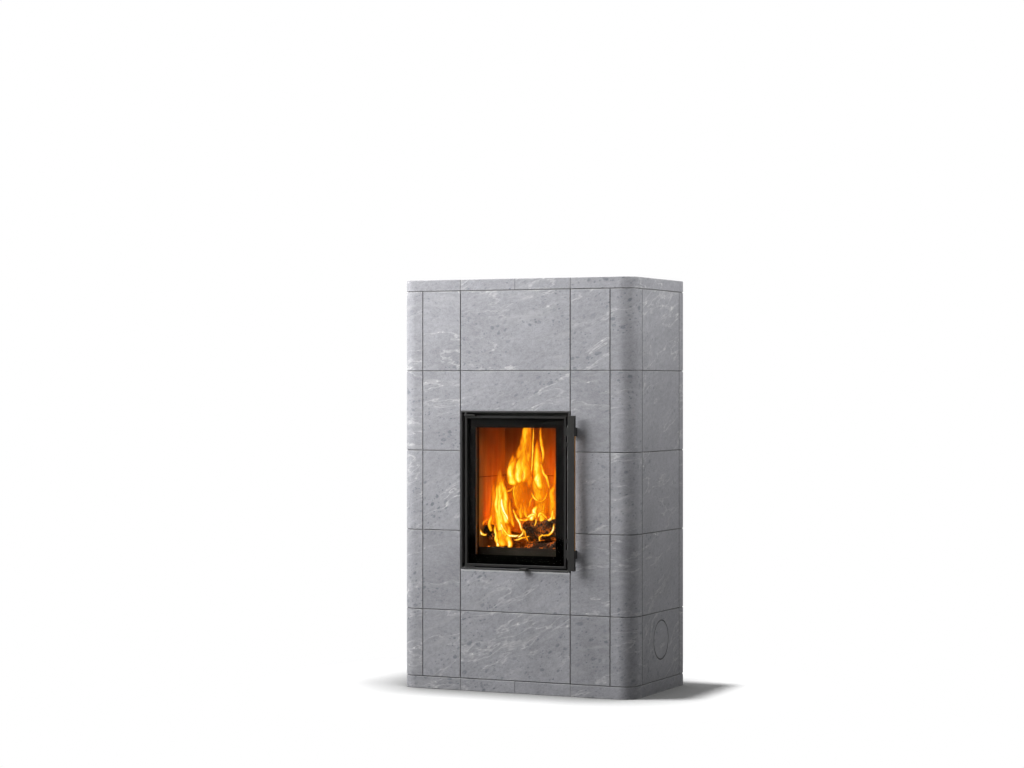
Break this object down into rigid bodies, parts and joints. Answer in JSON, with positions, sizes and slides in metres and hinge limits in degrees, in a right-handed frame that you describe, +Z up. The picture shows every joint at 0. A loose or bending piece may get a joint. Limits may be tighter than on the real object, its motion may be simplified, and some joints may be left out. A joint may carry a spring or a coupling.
{
  "type": "soapstone heater",
  "caption": "Tall heat-storing stove built from soapstone blocks with rounded front corners, a glazed firebox door with a long side handle, an air lever and round clean-out plugs.",
  "frame": {"origin": "on the floor under the middle of the heater", "axes": "+Z up, +X to the right of the front, +Y to the back; the door faces -Y"},
  "size_m": [0.8, 0.493, 1.3],
  "materials": {
    "soapstone": "honed matt soapstone, pale veins and dark specks",
    "core_stone": "rough sawn soapstone",
    "firebox_stone": "sooted and heat stained soapstone",
    "insulation": "pressed vermiculite board",
    "black_steel": "matt heatproof paint",
    "leaf_metal": "satin heatproof paint",
    "cast_iron": "raw casting, soot stained",
    "bare_steel": "plain steel",
    "steel_sheet": "heat blued sheet",
    "glass": "clear ceramic glass",
    "tape": "woven glass fibre tape",
    "rope": "braided glass fibre rope",
    "wood": "oiled hardwood",
    "glass_print": "black print fired on the back of the glass",
    "fire_log": "charred split firewood, shown only",
    "embers": "glowing charcoal and ash, shown only",
    "flame": "flame, shown only"
  },
  "bodies": {
    "heater": {"plinth_slab_left": "soapstone", "plinth_slabs_middle": "soapstone", "plinth_slab_right": "soapstone", "corner_stones_right": "soapstone", "corner_stones_left": "soapstone", "narrow_stones_right": "soapstone", "narrow_stones_left": "soapstone", "base_front_stone": "soapstone", "sill_stone": "soapstone", "lintel_stone": "soapstone", "top_front_stone": "soapstone", "clean_out_stone_right": "soapstone", "clean_out_stone_left": "soapstone", "side_stones_right": "soapstone", "side_stones_left": "soapstone", "back_flue_stone": "soapstone", "back_stones_middle": "soapstone", "back_stones_left": "soapstone", "back_stones_right": "soapstone", "flue_collar": "black_steel", "flue_collar_screws": "bare_steel", "foundation_block": "core_stone", "ash_chamber_walls": "core_stone", "hearth_stones": "firebox_stone", "firebox_side_stones_right": "firebox_stone", "firebox_side_stones_left": "firebox_stone", "firebox_back_stones": "firebox_stone", "firebox_lintel": "firebox_stone", "storage_stones_right": "core_stone", "storage_stones_left": "core_stone", "roof_slabs": "core_stone", "top_insulation_board": "insulation", "rear_insulation_boards": "insulation", "cap_slab_left": "soapstone", "cap_slabs_middle": "soapstone", "cap_slab_right": "soapstone", "grate": "cast_iron", "ash_box": "steel_sheet", "log_guard": "steel_sheet", "door_frame": "black_steel", "throat_sleeve": "steel_sheet", "hinge_pins": "bare_steel", "latch_wear_plates": "bare_steel", "air_slide_guides": "steel_sheet"},
    "door": {"hinge_straps": "black_steel", "door_leaf": "leaf_metal", "door_glass": "glass", "glass_tape": "tape", "rope_seal": "rope"},
    "handle": {"latch_shaft": "bare_steel", "latch_cams": "bare_steel", "handle_brackets": "black_steel", "handle_bar": "black_steel", "handle_screws": "bare_steel", "handle_grip": "wood"},
    "air_control": {"air_slide": "black_steel"},
    "plug_right": {"clean_out_plug_right": "soapstone"},
    "plug_left": {"clean_out_plug_left": "soapstone"}
  },
  "joints": [
    {"name": "door_swing", "type": "hinge", "parent": "heater", "child": "door", "pos_m": [-0.173, -0.2075, 0.63], "axis": [0, 0, -1], "range_deg": [0, 115]},
    {"name": "handle_turn", "type": "hinge", "parent": "door", "child": "handle", "pos_m": [0.17975, -0.2065, 0.63], "axis": [0, 0, -1], "range_deg": [0, 25]},
    {"name": "air_lever_slide", "type": "slide", "parent": "heater", "child": "air_control", "axis": [1, 0, 0], "range_m": [-0.096, 0.024]},
    {"name": "right_plug_pull", "type": "slide", "parent": "heater", "child": "plug_right", "axis": [1, 0, 0], "range_m": [0, 0.06]},
    {"name": "left_plug_pull", "type": "slide", "parent": "heater", "child": "plug_left", "axis": [-1, 0, 0], "range_m": [0, 0.06]}
  ]
}
